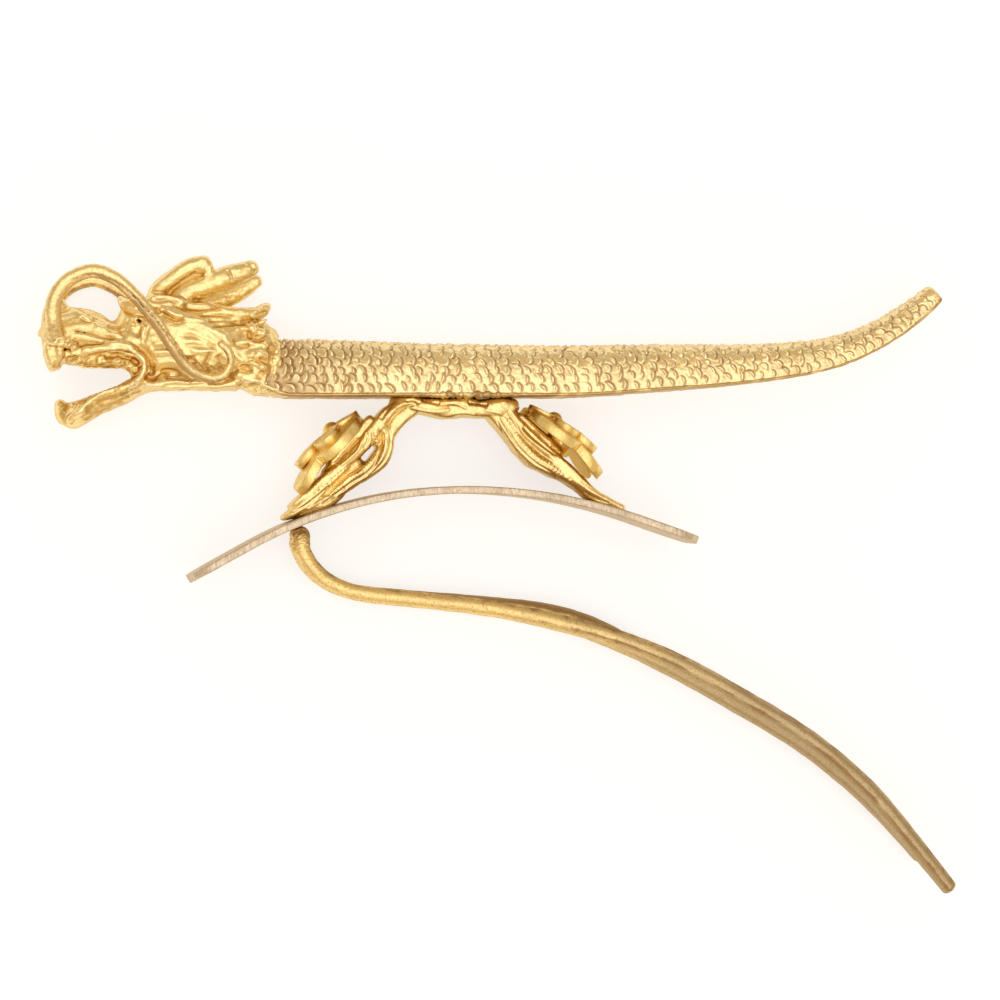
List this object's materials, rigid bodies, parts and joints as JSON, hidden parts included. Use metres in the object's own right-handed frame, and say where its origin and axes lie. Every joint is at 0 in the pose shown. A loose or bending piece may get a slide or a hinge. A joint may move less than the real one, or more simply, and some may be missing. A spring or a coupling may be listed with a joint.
{
  "type": "cheopji hair ornament",
  "caption": "Gilt hair ornament: a scaly dragon on a scroll stand with two blossoms, soldered to a bowed plate, with a long fork of round wire that holds it on parted hair.",
  "frame": {"origin": "middle of the whole ornament's box at its lowest level, where it lies on its right side", "axes": "+X from the dragon's nose to its tail and the fork's tips, +Y up the dragon's back when it is worn, +Z out of the dragon's left side, upward as it lies"},
  "size_m": [0.1096, 0.0766, 0.0127],
  "materials": {
    "gilt": "satin gilt over cast and chased metal, with brown tarnish in the hollows",
    "fork_brass": "dull worn brass with brown streaks"
  },
  "bodies": {
    "root": {"dragon_head": "gilt", "whisker_left": "gilt", "whisker_right": "gilt", "body_shell": "gilt", "body_sheet": "gilt", "bridge": "gilt", "flower_front": "gilt", "flower_rear": "gilt", "base_plate": "fork_brass", "hair_fork": "fork_brass"}
  },
  "joints": []
}
